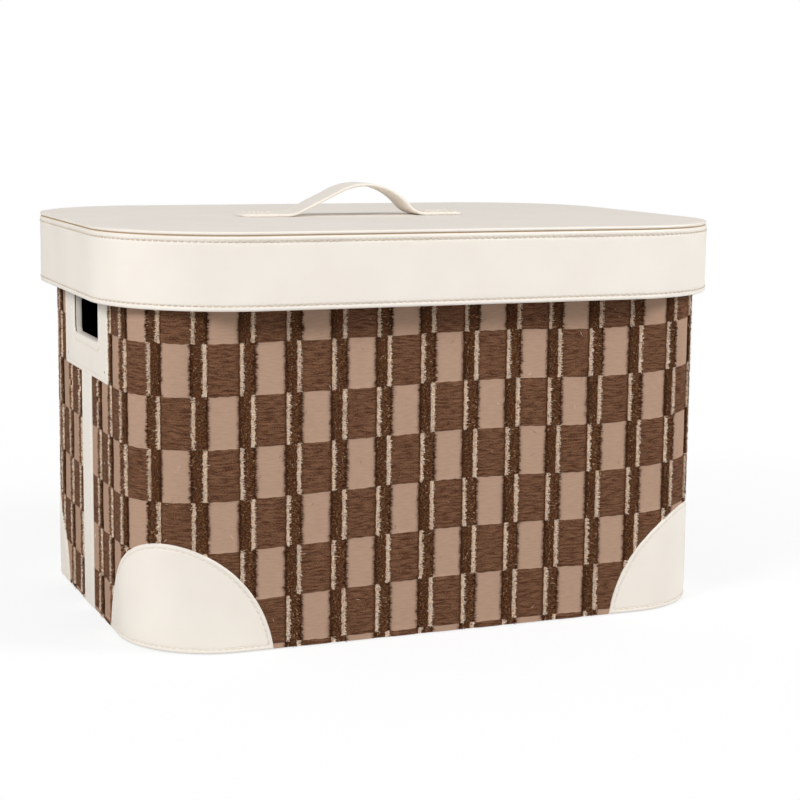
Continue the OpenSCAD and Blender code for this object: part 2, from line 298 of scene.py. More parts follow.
def sewn_rows(name, rows, body="box", finish=None, replaces=()):
    """Rows of stitches, each as (points, faces), as one piece."""
    points, faces, total = [], [], 0
    for row_points, row_faces in rows:
        points.append(row_points)
        faces += [group + total for group in row_faces]
        total += len(row_points)
    make_piece(name, np.vstack(points), faces, body, [finish or CREAM_THREAD], replaces=replaces)


def leather_piece(name, points, faces, body="box", crease=35):
    """A cream leatherette piece in place of the node of its own name."""
    make_piece(name, points, faces, body, [CREAM_LEATHERETTE], replaces=(name,),
               crease=crease)


def lining_piece(name, points, faces, body, node):
    """A black lining cloth piece in place of a node."""
    make_piece(name, points, faces, body, [BLACK_LINING], replaces=(node,))


# ---------- finishes ----------


def linear(code):
    """An sRGB hex colour as the linear colour that a shader takes."""
    parts = [int(code[i:i + 2], 16) / 255 for i in (1, 3, 5)]
    return tuple(p / 12.92 if p <= 0.04045 else ((p + 0.055) / 1.055) ** 2.4 for p in parts) + (1.0,)


def add_node(tree, kind, settings=None, inputs=None):
    """Adds a node. An input's value is a number, a colour or another node's output."""
    node = tree.nodes.new("ShaderNode" + kind)
    for name, value in (settings or {}).items():
        setattr(node, name, value)
    for name, value in (inputs or {}).items():
        if isinstance(value, bpy.types.NodeSocket):
            tree.links.new(value, node.inputs[name])
        else:
            node.inputs[name].default_value = value
    return node


def new_finish(name):
    """An empty material, and add_node for its node tree."""
    finish = bpy.data.materials.new(name)
    finish.use_nodes = True
    finish.node_tree.nodes.clear()
    return finish, partial(add_node, finish.node_tree)


def blended(add, value, start, end, most, first, second):
    """A colour that goes from the first towards the second, by the share most, while a value
    goes from start to end."""
    share = add("MapRange", {}, {0: value, 1: start, 2: end, 3: 0.0, 4: most})
    return add("Mix", {"data_type": "RGBA"},
               {0: share.outputs[0], 6: linear(first), 7: linear(second)}).outputs[2]


def close_finish(add, colour, rough, height, strength, depth, specular, ior=1.5):
    """Ends a finish in its shader. Its relief goes depth mm deep."""
    relief = add("Bump", {}, {"Height": height, "Strength": strength, "Distance": depth * MM})
    shader = add("BsdfPrincipled", {},
                 {"Base Color": colour, "Roughness": rough, "Normal": relief.outputs[0], "IOR": ior,
                  "Specular IOR Level": specular})
    add("OutputMaterial", {}, {"Surface": shader.outputs["BSDF"]})


def ply_twist(add):
    """The twist of a yarn's plies, 0.5 mm apart."""
    place = add("TexCoord").outputs["Object"]
    return add("TexWave", {"bands_direction": "DIAGONAL"},
               {"Vector": place, "Scale": math.pi / 10 / (0.5 * MM), "Distortion": 1.0}).outputs["Fac"]


def leatherette(name, face, shade, rough):
    """Leatherette: a PVC film on cloth, embossed with a fine pebble and rolled satin. It
    reads as a smooth cream skin with a soft highlight and slightly uneven tone."""
    finish, add = new_finish(name)
    place = add("TexCoord").outputs["Object"]
    # Pebbles of about 0.9 mm, as the embossing roller leaves them
    pebble = add("TexVoronoi", {"feature": "SMOOTH_F1"},
                 {"Vector": place, "Scale": 1 / (0.9 * MM), "Smoothness": 0.6})
    crease = add("TexNoise", {},
                 {"Vector": place, "Scale": 1 / (5 * MM), "Detail": 5.0, "Roughness": 0.6})
    cloud = add("TexNoise", {},
                {"Vector": place, "Scale": 1 / (45 * MM), "Detail": 3.0, "Roughness": 0.5})
    skin = blended(add, cloud.outputs["Fac"], 0.35, 0.7, 0.8, face, shade)
    sheen = add("MapRange", {},
                {0: crease.outputs["Fac"], 1: 0.3, 2: 0.7, 3: rough - 0.05, 4: rough + 0.07})
    grain = add("Math", {"operation": "MULTIPLY_ADD"},
                {0: crease.outputs["Fac"], 1: 0.5, 2: pebble.outputs["Distance"]})
    close_finish(add, skin, sheen.outputs[0], grain.outputs[0], 0.35, 0.05, 0.4, ior=1.47)
    return finish


def woven(name, dark, light, streak, waver, grain, depth):
    """Woven cloth laid flat on the wall. Its weft yarns run level, waver a little and vary
    in tone along their length. streak is a streak's length and thickness in mm."""
    finish, add = new_finish(name)
    place = add("UVMap", {"uv_map": "unrolled"}).outputs[0]
    drift = add("TexNoise", {}, {"Vector": place, "Scale": 1 / (8 * MM), "Detail": 1.0})
    wavering = add("VectorMath", {"operation": "MULTIPLY_ADD"},
                   {0: drift.outputs["Color"], 1: (0, waver * MM, 0), 2: place})
    stretched = add("VectorMath", {"operation": "MULTIPLY"},
                    {0: wavering.outputs[0], 1: (1 / (streak[0] * MM), 1 / (streak[1] * MM), 0)})
    tone = add("TexNoise", {},
               {"Vector": stretched.outputs[0], "Scale": 1.0, "Detail": 2.5, "Roughness": 0.6})
    share = add("MapRange", {}, {0: tone.outputs["Fac"], 1: 0.33, 2: 0.67, 3: 0.0, 4: 1.0})
    # Single yarns are 0.5 mm apart, too fine to show: they are drawn 0.8 mm apart
    speck = add("TexNoise", {}, {"Vector": wavering.outputs[0], "Scale": 1 / (0.8 * MM), "Detail": 1.0})
    grained = add("MapRange", {}, {0: speck.outputs["Fac"], 1: 0.3, 2: 0.7, 3: -grain, 4: grain})
    both = add("Math", {"operation": "ADD", "use_clamp": True},
               {0: share.outputs[0], 1: grained.outputs[0]}).outputs[0]
    close_finish(add, blended(add, both, 0.0, 1.0, 1.0, dark, light), 0.95, both, 0.7, depth, 0.1)
    return finish


def cut_yarn(name, root, tip, odd, odd_share):
    """Cut ends of spun yarn. Each is darker at its root, and some are of another colour.
    The map "strand" holds a strand's own random number and how far along it a point lies."""
    finish, add = new_finish(name)
    place = add("UVMap", {"uv_map": "strand"}).outputs[0]
    parts = add("SeparateXYZ", {}, {"Vector": place})
    own, along = parts.outputs["X"], parts.outputs["Y"]
    lighter = add("Math", {"operation": "MULTIPLY_ADD"}, {0: own, 1: 0.45, 2: -0.2})
    share = add("Math", {"operation": "ADD", "use_clamp": True}, {0: along, 1: lighter.outputs[0]})
    is_odd = add("Math", {"operation": "GREATER_THAN"}, {0: own, 1: 1 - odd_share})
    mixed = add("Mix", {"data_type": "RGBA"},
                {0: is_odd.outputs[0], 6: blended(add, share.outputs[0], 0.0, 1.0, 1.0, root, tip),
                 7: linear(odd)})
    close_finish(add, mixed.outputs[2], 0.9, ply_twist(add), 0.4, 0.06, 0.1)
    return finish


def mottled(name, face, shade, size, detail, spread, distortion):
    """The start of a finish: two tones in patches of about size mm. spread is how far the
    noise goes either way of its middle from the first tone to the second."""
    finish, add = new_finish(name)
    place = add("TexCoord").outputs["Object"]
    patches = add("TexNoise", {},
                  {"Vector": place, "Scale": 1 / (size * MM), "Detail": detail, "Roughness": 0.7,
                   "Distortion": distortion}).outputs["Fac"]
    return finish, add, patches, blended(add, patches, 0.5 - spread, 0.5 + spread, 1.0, face, shade)


def sewing_thread(name, face, shade):
    """Plied sewing thread: tone varies a little from stitch to stitch, with a fine twist."""
    finish, add, _, colour = mottled(name, face, shade, 0.8, 3.0, 0.15, 0.0)
    close_finish(add, colour, 0.6, ply_twist(add), 0.4, 0.08, 0.2)
    return finish


def pressed_sheet(name, face, shade, fibre, rough, depth):
    """Pressed fibre, as paperboard or non-woven cloth: a mottle of short fibres."""
    finish, add, fibres, colour = mottled(name, face, shade, fibre, 6.0, 0.2, 1.5)
    close_finish(add, colour, rough, fibres, 0.5, depth, 0.25)
    return finish


# Skirt, guards, patches, strap and welt
CREAM_LEATHERETTE = leatherette("cream_leatherette", "#F3ECE2", "#EEE6DC", 0.46)
# The lid's top is the skirt's leatherette with painted shade: a little darker and greyer, as the top gets
# less light
SHADED_LID_TOP_LEATHERETTE = leatherette("lid_top_leatherette_painted_shade", "#EFE8DF", "#EBE4DB", 0.5)
TAN_PLAIN_WEAVE = woven("tan_plain_weave", "#AC8D78", "#B59681", (7, 1.2), 0.8, 0.35, 0.05)
BROWN_REP_WEAVE = woven("brown_rep_weave", "#482B1C", "#7E5A43", (9, 1.25), 2.2, 0.4, 0.2)
DARK_GROUND_WEAVE = woven("dark_ground_weave", "#4E2D19", "#6C452C", (2.5, 1.5), 1.5, 0.3, 0.2)
CREAM_GROUND = woven("cream_yarn_ground", "#CDA888", "#FFEBD3", (1.2, 0.7), 1.0, 0.6, 0.4)
CREAM_CUT_YARN = cut_yarn("cream_cut_yarn", "#E8C6A4", "#FFF9EE", "#8E6647", 0.12)
DARK_CUT_YARN = cut_yarn("dark_cut_yarn", "#3F2212", "#9A7050", "#C8A483", 0.035)
CREAM_THREAD = sewing_thread("cream_sewing_thread", "#EEE6DA", "#E4DACB")
# The lid's thread is the cream thread darkened as painted shade, for the shade in its needle holes
SHADED_LID_THREAD = sewing_thread("lid_sewing_thread_painted_shade", "#DFD4C5", "#CBBEAC")
PAPERBOARD = pressed_sheet("grey_paperboard", "#B59A78", "#A38763", 2.5, 0.85, 0.05)
BLACK_LINING = pressed_sheet("black_nonwoven_lining", "#1D1C1C", "#131212", 1.6, 0.9, 0.1)


# ---------- which part of the wall the trim covers ----------


def guard_top(s):
    """Height of the corner guards' rounded outline at s, or below the floor off them."""
    x, y, _ = np.moveaxis(BOX.at(s), -1, 0)
    away = np.hypot(np.abs(x) - BOX_LENGTH / 2, np.abs(y) - BOX_WIDTH / 2)
    return np.sqrt(np.maximum(GUARD_RADIUS**2 - away**2, 0)) - GUARD_DROP


def from_side_middle(s):
    """Distance along the wall from the middle of the nearer short side."""
    return np.abs(np.mod(s, 2 * SIDE_MIDDLE) - SIDE_MIDDLE)


def in_hole_cut(s, up):
    return (from_side_middle(s) < CUT_ASIDE) & (np.abs(up - HOLE_MIDDLE) < CUT_UP)


def under_trim(s, up, margin):
    """True where guards, strips, patches or the rim binding lie on the fabric."""
    aside = from_side_middle(s)
    return ((up < guard_top(s) + margin)
            | ((aside < STRIP_WIDTH / 2 + margin) & (up < PATCH_BOTTOM + margin))
            | ((aside < PATCH_WIDTH / 2 + margin) & (up > PATCH_BOTTOM - margin))
            | (up > BINDING_BOTTOM - margin))


# ---------- woven fabric ----------

ROWS = range(-1, 9)
FRINGE_PARTS = 6
# Distance of the cream line from the brown panel on its left or right, and its width
LINE_AFTER_BROWN, LINE_BEFORE_BROWN = (1.0, 2.0), (0.6, 2.4)


def panel_is_brown(column, row):
    return (column + row) % 2 == 0


def column_of(s, phase):
    return np.round((s - phase) / PANEL_REPEAT).astype(int)


def row_of(up):
    return np.floor((up - ROW_START) / ROW_HEIGHT).astype(int)


def row_sag(s, up):
    """How far the rows hang below level, as pulled round the corners in the making."""
    over = np.mod(s + BOX.around / 2, BOX.around) - BOX.around / 2
    low = np.clip((250 - up) / 110, 0.35, 1.45)
    left = np.interp(over, [-684, -560, -410, -300, -215, -160, -103, -49], [0, 1.5, 5, 5, 4.2, 2.6, 1.3, 0])
    right = np.interp(over, [120, 150, 175, 205, 280, 420, 684], [0, -0.8, -2.2, -4, -4.4, -3, 0])
    front = np.interp(over, [-49, 0, 55, 100], [0, -1.4, -1.4, 0])
    near_hole = (from_side_middle(s) < PATCH_WIDTH / 2) & (up > PATCH_BOTTOM - 12)
    fade = np.clip((up - TRIM_BOTTOM) / 25, 0, 1) * np.clip((WALL_TOP - up) / 14, 0, 1)
    return (left * low + front + right) * fade * ~near_hole


def in_cream_line(s, up, phase):
    """True on the line of cream yarn beside each brown panel, at s and up in the pattern."""
    gap = PANEL_REPEAT - PANEL_WIDTH
    column = np.floor((s - phase + PANEL_WIDTH / 2) / PANEL_REPEAT).astype(int)
    past = s - phase - column * PANEL_REPEAT - PANEL_WIDTH / 2
    near, wide = LINE_AFTER_BROWN
    after = (past > near) & (past < near + wide)
    near, wide = LINE_BEFORE_BROWN
    before = (past > gap - near - wide) & (past < gap - near)
    return np.where(panel_is_brown(column, row_of(up)), after, before)


def fabric_relief(s, up, phase, seed):
    """Height of the cloth: brown panels stand proudest, the fringed gaps lie low."""
    off = np.abs(s - phase - column_of(s, phase) * PANEL_REPEAT)
    in_panel = off < PANEL_WIDTH / 2
    brown = panel_is_brown(column_of(s, phase), row_of(up))
    crown = 0.15 * np.cos(np.clip(off / (PANEL_WIDTH / 2), 0, 1) * math.pi / 2)
    height = np.where(in_panel, np.where(brown, 0.25 + crown, 0.05 + crown), -0.3)
    height = np.where(in_cream_line(s, up, phase), 0.2, height)
    height = height + ripple(s, up, 22, 0.08, seed)
    return np.where(under_trim(s, up - row_sag(s, up), 0.5), np.minimum(height, -0.05), height)


def woven_fabric(end, first, last, phase, seed):
    """One half of the fabric, with the hand holes cut out where the patches cover them."""
    columns = range(int((first - phase) // PANEL_REPEAT) - 1, int((last - phase) // PANEL_REPEAT) + 3)
    borders = [(side, 0) for side in (-1, 1)]
    for side, (near, wide) in ((1, LINE_AFTER_BROWN), (-1, LINE_BEFORE_BROWN)):
        borders += [(side, near), (side, near + wide)]
    edges = [phase + k * PANEL_REPEAT + side * (PANEL_WIDTH / 2 + off)
             for k in columns for side, off in borders]
    s = grid_lines(first, last, edges + [first + CUT_ASIDE, last - CUT_ASIDE], 2.6)
    # Two lines of points at each row's start, so that its step is steep
    starts = [ROW_START + row * ROW_HEIGHT + aside for row in ROWS for aside in (-0.3, 0.3)]
    up = grid_lines(TRIM_BOTTOM, WALL_TOP, starts + [HOLE_MIDDLE - CUT_UP, HOLE_MIDDLE + CUT_UP], 2.8)
    grid_s, grid_up = np.meshgrid(s, up)
    mid_s, mid_up = np.meshgrid((s[1:] + s[:-1]) / 2, (up[1:] + up[:-1]) / 2)
    keep = ~in_hole_cut(mid_s, mid_up)
    # Panel edges wander by a fraction of a millimetre, as woven ones do
    wander_s = grid_s + ripple(grid_s, grid_up, 6, 0.22, seed + 1)
    wander_up = grid_up + ripple(grid_s, grid_up, 9, 0.2, seed + 2) - row_sag(grid_s, grid_up)
    wander_s[:, [0, -1]], wander_up[[0, -1]] = grid_s[:, [0, -1]], grid_up[[0, -1]]
    outer = BOX.at(wander_s, fabric_relief(grid_s, grid_up, phase, seed), wander_up)
    inner = BOX.at(grid_s, -FABRIC, grid_up - row_sag(grid_s, grid_up))
    faces = sheet_with_holes(keep)
    off = np.abs(mid_s - phase - column_of(mid_s, phase) * PANEL_REPEAT)
    brown = panel_is_brown(column_of(mid_s, phase), row_of(mid_up))
    finish = np.where(off < PANEL_WIDTH / 2, np.where(brown, 1, 0), 2)
    finish = np.where(in_cream_line(mid_s, mid_up, phase), 3, finish)[keep]
    rest = sum(len(group) for group in faces[2:])
    make_piece("woven_fabric_" + end, np.concatenate([outer, inner]), faces, "box",
               [TAN_PLAIN_WEAVE, BROWN_REP_WEAVE, DARK_GROUND_WEAVE, CREAM_GROUND],
               np.concatenate([finish, finish, np.full(rest, 2)]),
               np.concatenate([np.stack([wander_s, wander_up], -1),
                               np.stack([grid_s, grid_up], -1)]),
               ("fabric_" + end,))


def cut_strands(root_s, root_up, lie, reach, height, thick, own):
    """Points, faces and strand map of cut yarn ends that stand up from the cloth. Seen
    from outside, a strand runs reach mm towards the angle lie, and it rises height mm.
    own is its own tone, 0 to 1; strands darkened as painted shade get lower values."""
    count = len(root_s)
    across = np.stack([-np.sin(lie), np.cos(lie)], 1)
    onward = np.stack([np.cos(lie), np.sin(lie)], 1)
    steep = np.arctan2(height, reach)
    rings = []
    for share, lift, girth in ((0.0, 0.0, 0.8), (0.45, 0.62, 1.1)):
        for turn in np.radians([90, 210, 330]):
            aside, over = np.cos(turn) * thick * girth / 2, np.sin(turn) * thick * girth / 2
            flat = onward * (reach * share - over * np.sin(steep))[:, None] + across * aside[:, None]
            rings.append(np.column_stack([flat, height * lift + over * np.cos(steep)]))
    rings.append(np.column_stack([onward * reach[:, None], height]))
    local = np.stack(rings, 1)
    points = BOX.at(root_s[:, None] + local[..., 0], local[..., 2] - 0.35, root_up[:, None] + local[..., 1])
    start = np.arange(count)[:, None, None] * 7
    sides = (start + np.array([[0, 1, 4, 3], [1, 2, 5, 4], [2, 0, 3, 5]])).reshape(-1, 4)
    ends = (start + np.array([[3, 4, 6], [4, 5, 6], [5, 3, 6], [2, 1, 0]])).reshape(-1, 3)
    own = np.broadcast_to(own[:, None], (count, 7))
    along = np.broadcast_to([0, 0, 0, 0.55, 0.55, 0.55, 1.0], (count, 7))
    return points, [sides, ends], np.stack([own, along], -1)


def fringe(end, first, last, phase, seed):
    """The cut ends in the gaps: a dense cream line hugs each brown panel, and a dark pile
    fills the rest of the gap and laps over the tan panel's edge."""
    draw = np.random.default_rng(seed)
    columns = range(int((first - phase) // PANEL_REPEAT) - 1, int((last - phase) // PANEL_REPEAT) + 2)
    strands = {"cream": [], "dark": []}

    def sow(tone, edge, away, row, offsets, per_mm2, fan, reach, height, thick, tones=(0, 1)):
        """A band of yarn ends in one row, between two offsets from the brown panel's edge.
        fan is the middle and the spread of the directions in which they lie over."""
        count = int(ROW_HEIGHT * (offsets[1] - offsets[0]) * per_mm2)
        up = ROW_START + (row + draw.uniform(0, 1, count)) * ROW_HEIGHT
        clump = ripple(up, np.full(count, edge), 4.5, 0.3, seed + row * 7)
        at = edge + away * (draw.uniform(*offsets, count) + clump * min(1, offsets[1] - offsets[0]) * 0.5)
        lie = draw.normal(fan[0], fan[1], count)
        lie = lie if away > 0 else math.pi - lie
        size = draw.uniform(0.7, 1.3, count) * (1 + 0.3 * clump)
        strands[tone].append(np.stack([at, up, lie, reach * size, height * size.clip(0.7, 1.2),
                                       thick * draw.uniform(0.8, 1.25, count),
                                       draw.uniform(*tones, count)]))

    gap = PANEL_REPEAT - PANEL_WIDTH
    for column in columns:
        for row in ROWS:
            left_brown = panel_is_brown(column, row)
            away = 1 if left_brown else -1
            edge = phase + (column if left_brown else column + 1) * PANEL_REPEAT + away * PANEL_WIDTH / 2
            near, wide = LINE_AFTER_BROWN if left_brown else LINE_BEFORE_BROWN
            line = (near - 0.2, near + wide + 0.3)
            # Leaning away from the panel, leaning back on it, and the pile beside them
            for tone, *band in (
                    ("cream", line, 1.9, (0.0, 0.6), 0.9, 1.5, 0.42),
                    ("cream", line, 1.5, (math.pi, 0.6), 0.8, 1.6, 0.42),
                    ("dark", (-0.3, near), 0.9, (0.0, 1.2), 0.5, 0.7, 0.5, (-0.6, 0.6)),
                    ("dark", (near + wide + 0.4, gap - 1.8), 1.1, (0.0, 0.9), 1.3, 1.4, 0.55),
                    # The pile by the tan panel and the thin ends lapping over it take low tones, near the
                    # root colour: painted shade along the tan panel's edge
                    ("dark", (gap - 2.4, gap - 0.2), 1.8, (0.0, 0.5), 1.9, 1.1, 0.42, (-1.6, 0.1)),
                    ("dark", (gap - 1.4, gap - 0.1), 0.8, (0.0, 0.4), 2.6, 0.6, 0.25, (-0.8, 0.5))):
                sow(tone, edge, away, row, *band)
    # A few loose ends lie over the panels
    for tone, count in (("cream", 90), ("dark", 160)):
        strands[tone].append(np.stack([
            draw.uniform(*limits, count) for limits in
            ((first, last), (8, 225), (0, 2 * math.pi), (2, 7), (0.8, 1.3), (0.2, 0.35), (0, 0.8))]))
    for tone, finish in (("cream", CREAM_CUT_YARN), ("dark", DARK_CUT_YARN)):
        rows = np.concatenate(strands[tone], axis=1)
        s, up = rows[0], rows[1]
        up -= row_sag(s, up)
        here = (s > first + 1) & (s < last - 1) & (up > TRIM_BOTTOM + 0.5)
        rows = rows[:, here & ~under_trim(s, up, 0.6)]
        bounds = np.linspace(first, last, FRINGE_PARTS + 1)
        for part, (start, stop) in enumerate(zip(bounds, bounds[1:])):
            points, faces, strand = cut_strands(*rows[:, (rows[0] >= start) & (rows[0] < stop)])
            make_piece(f"fringe_{tone}_{end}_{part + 1}", points, faces, "box",
                       [finish], unrolled=strand / MM, map_name="strand", face_outward=False, crease=70)


# ---------- leatherette trim on the box ----------


EDGE_STITCH = 3.0


def edge_roll(distance, flat=1.0, groove=EDGE_STITCH):
    """Height of turned leatherette at a distance from its edge: a rolled edge, a sewn
    groove, then the flat."""
    return np.interp(distance,
                     [0, 0.25, 0.7, 1.3, groove - 0.8, groove - 0.35, groove, groove + 0.35,
                      groove + 0.9, groove + 4, groove + 25],
                     [0.12, 0.7, 1.05, 1.15, 1.05, 0.8, 0.5, 0.75,
                      flat, flat + 0.1, flat + 0.25])


def on_wall(s, up, height):
    """Stitches on the trim: the groove's floor is half a millimetre off the fabric."""
    return BOX.at(s, 0.62 + height, up)


def corner_guard(name, corner_s):
    """Dome of leatherette round a bottom corner, with a turned and sewn edge."""
    reach = (math.sqrt(GUARD_RADIUS**2 - (GUARD_DROP + TRIM_BOTTOM) ** 2)
             - BOX.radius + BOX.radius * math.pi / 4)
    spread = -np.cos(np.linspace(0, math.pi, 121))
    s = corner_s + spread * reach
    top = np.maximum(guard_top(s), TRIM_BOTTOM + 0.02)
    share = (1 - np.cos(np.linspace(0, math.pi, 61))) / 2
    grid_s = np.broadcast_to(s, (61, 121))
    grid_up = TRIM_BOTTOM + share[:, None] * (top - TRIM_BOTTOM)
    fine = corner_s - reach * np.cos(np.linspace(0, math.pi, 500))
    border = np.stack([fine, np.maximum(guard_top(fine), TRIM_BOTTOM)], 1)
    gap = np.sqrt(((np.stack([grid_s, grid_up], -1)[:, :, None] - border) ** 2).sum(-1).min(-1))
    gap = np.minimum(gap, grid_up - TRIM_BOTTOM)
    out = edge_roll(gap) + ripple(grid_s, grid_up, 40, 0.05, 11) * np.clip(gap / 8, 0, 1)
    points = np.concatenate([BOX.at(grid_s, out, grid_up), BOX.at(grid_s, 0.0, grid_up)])
    leather_piece(name, points, sheet_with_holes(np.ones((60, 120), bool)))
    along = np.gradient(border, axis=0)
    along /= np.hypot(*along.T)[:, None]
    arc = border + EDGE_STITCH * np.stack([along[:, 1], -along[:, 0]], 1)
    arc = arc[arc[:, 1] > TRIM_BOTTOM + EDGE_STITCH]
    foot = arc[[-1, 0]] * [1, 0] + [0, TRIM_BOTTOM + EDGE_STITCH]
    sewn_rows(name + "_stitching", [stitch_row(row, on_wall) for row in (arc, foot)])


def seam_strip(side, middle):
    """The narrow strip that covers the meeting of the fabric's two halves."""
    stitch = 2.6
    across = grid_lines(-STRIP_WIDTH / 2, STRIP_WIDTH / 2, [], 0.35)
    up = grid_lines(TRIM_BOTTOM, PATCH_BOTTOM + 0.4, [], 2.0)
    grid_a, grid_up = np.meshgrid(across, up)
    gap = STRIP_WIDTH / 2 - np.abs(grid_a)
    out = edge_roll(gap, 0.9, stitch) + ripple(grid_a, grid_up, 30, 0.04, 21) * np.clip(gap / 6, 0, 1)
    points = np.concatenate([BOX.at(middle + grid_a, out, grid_up),
                             BOX.at(middle + grid_a, 0.0, grid_up)])
    leather_piece("seam_strip_" + side, points,
                  sheet_with_holes(np.ones((len(up) - 1, len(across) - 1), bool)))
    rows = [middle + edge * (STRIP_WIDTH / 2 - stitch) for edge in (-1, 1)]
    sewn_rows("seam_strip_stitching_" + side,
              [stitch_row([(s, TRIM_BOTTOM + 1), (s, PATCH_BOTTOM - 1)], on_wall) for s in rows])


HOLE = Outline(HOLE_WIDTH, HOLE_HEIGHT, HOLE_RADIUS)
PATCH = Outline(PATCH_WIDTH, BINDING_BOTTOM - PATCH_BOTTOM, 2.5)


def matched_places(outline, counts=(12, 6, 8, 6, 24, 6, 8, 6, 12)):
    """Places on an outline, as many on each of its runs, so that two outlines match."""
    parts = [np.linspace(a, b, n + 1)[:-1] for a, b, n in zip(outline.knots, outline.knots[1:], counts)]
    return np.concatenate(parts)


def hand_hole(side, middle):
    """The patch round a hand hole and the sleeve through the wall."""
    hole_s, patch_s = matched_places(HOLE), matched_places(PATCH)
    patch_lift = (PATCH_BOTTOM + BINDING_BOTTOM) / 2 - HOLE_MIDDLE

    def tube_piece(name, rings, crease):
        flat = np.array(rings)
        points = BOX.at(middle + flat[..., 0], flat[..., 2], HOLE_MIDDLE + flat[..., 1])
        leather_piece(name + side, points, [grid_quads(len(rings), len(hole_s), True, True)],
                      crease=crease)

    # The edge turns into the hole, down to a seam with the sleeve
    near_hole = [(0.5, -0.4), (0.05, -0.3), (0.0, 0.2), (0.35, 0.75), (1.0, 1.0), (2.0, 1.1), (4.0, 1.05),
                 (5.2, 0.95), (5.6, 0.75), (6.0, 0.5), (6.4, 0.75), (6.8, 0.95), (9.0, 1.0)]
    near_edge = [(5.0, 1.0), (3.9, 0.98), (3.35, 0.75), (3.0, 0.5), (2.65, 0.8), (2.0, 1.05),
                 (1.2, 1.1), (0.6, 1.0), (0.2, 0.65), (0.0, 0.12), (0.0, 0.0)]
    rings = [HOLE.at(hole_s, grow, out) for grow, out in near_hole]
    outer_rings = [PATCH.at(patch_s, -inset, out) + [0, patch_lift, 0] for inset, out in near_edge]
    for share in (0.25, 0.5, 0.75):
        rings.append(rings[len(near_hole) - 1] * (1 - share) + outer_rings[0] * share + [0, 0, 0.05])
    rings += outer_rings + [HOLE.at(hole_s, 1.4, 0.0), HOLE.at(hole_s, 1.3, -0.4)]
    tube_piece("handle_patch_", rings, 35)
    rows = [outline.at(np.append(outline.stations(0.5), 0), grow)[:, :2] + [middle, HOLE_MIDDLE + lift]
            for outline, grow, lift in ((HOLE, 6.0, 0), (PATCH, -EDGE_STITCH, patch_lift))]
    sewn_rows("handle_patch_stitching_" + side, [stitch_row(row, on_wall) for row in rows])

    flange, inside = 9.0, -LINING_INSIDE
    profile = [(0.3, -1.1), (0.05, -1.25), (0.0, -1.6), (0.0, -3.5), (0.0, inside - 0.2),
               (0.15, inside - 0.6), (0.6, inside - TRIM), (1.5, inside - TRIM - 0.05),
               (flange - 1.5, inside - TRIM), (flange - 0.3, inside - 0.65), (flange, inside - 0.3),
               (flange, inside), (TRIM, inside), (TRIM, -1.1)]
    tube_piece("handle_sleeve_", [HOLE.at(hole_s, grow, out) for grow, out in profile], 50)


def rim_binding():
    """Leatherette tape folded over the rim, sewn through near its outer edge."""
    inside, stitch = -LINING_INSIDE, BINDING_BOTTOM + 2.6
    profile = at_level(BINDING_BOTTOM, [(0.0, 0), (0.35, 0), (0.7, 0.3), (0.85, 1.2), (0.7, 2.2),
                                        (0.4, 2.6), (0.7, 3.0), (0.8, 4)])
    profile += at_level(RIM_TOP, [(0.8, -1.6), (0.65, -0.8), (0.2, -0.25), (-0.6, 0), (-3.8, 0),
                                  (inside - 0.2, -0.25), (inside - 0.65, -0.8), (inside - 0.8, -1.6)])
    profile += at_level(BINDING_BOTTOM, [(inside - 0.8, 0.6), (inside - 0.5, 0), (inside, 0)])
    leather_piece("rim_binding", *swept_ring(BOX, 3.0, profile + [(inside, WALL_TOP), (0.0, WALL_TOP)]))
    sewn_rows("rim_binding_stitching",
              [stitch_row([(0, stitch), (BOX.around, stitch)], lambda s, up, h: BOX.at(s, 0.5 + h, up))])


# ---------- linings and base ----------


def wall_lining():
    """Black lining cloth on the inside of the wall, slightly slack between its edges."""
    musts = [side * SIDE_MIDDLE + cut * CUT_ASIDE for side in (1, 3) for cut in (-1, 1)]
    s = grid_lines(0, BOX.around, musts, 5.0)[:-1]
    up = grid_lines(BASE_BOARD_TOP, WALL_TOP, [HOLE_MIDDLE - CUT_UP, HOLE_MIDDLE + CUT_UP], 5.0)
    grid_s, grid_up = np.meshgrid(s, up)
    following = np.append(s[1:], BOX.around)
    mid_s, mid_up = np.meshgrid((s + following) / 2, (up[1:] + up[:-1]) / 2)
    turns = 2 * math.pi / BOX.around
    slack = 0.12 * np.abs(np.sin(grid_s * turns * 19 + 2 * np.sin(grid_s * turns * 5) + grid_up / 37))
    fade = np.clip((grid_up - 8) / 20, 0, 1) * np.clip((BINDING_BOTTOM - 4 - grid_up) / 20, 0, 1)
    near_hole = (from_side_middle(grid_s) < 50) & (np.abs(grid_up - HOLE_MIDDLE) < 34)
    inner = BOX.at(grid_s, -LINING_INSIDE - slack * fade * ~near_hole, grid_up)
    outer = BOX.at(grid_s, -BOARD_INSIDE, grid_up)
    lining_piece("wall_lining", np.concatenate([inner, outer]),
                 sheet_with_holes(~in_hole_cut(mid_s, mid_up), True), "box", "wall_lining")


def base_sheets():
    """The lining on the base, and the sheet under it that the box stands on."""
    edge = at_level(BASE_BOARD_TOP, [(LINING_INSIDE, 0), (LINING_INSIDE, 0.4), (LINING_INSIDE + 0.3, 0.5)])
    sheet = flat_sheet(BOX, 6.0, edge, 22, lambda x, y: 0.12 + ripple(x, y, 60, 0.1, 31))
    lining_piece("base_lining", *sheet, "box", "base_lining")
    sheet = flat_sheet(BOX, 5.0, [(2.4, 0.0), (2.1, 0.1), (2.0, 0.4), (2.0, 0.8)], 4)
    lining_piece("base_sheet", *sheet, "box", "base_cover")


# ---------- lid ----------

TOP_STITCH = LID_TOP - 6.4
HEM_STITCH = SKIRT_BOTTOM + 3.4


def needle_dips(s, row_up, up, count):
    """Dents where the needle went in, between the stitches of a row."""
    pitch = LID.around / count
    off = (s + pitch / 2) % pitch - pitch / 2
    return np.exp(-(off**2 + (up - row_up) ** 2) / 0.5)


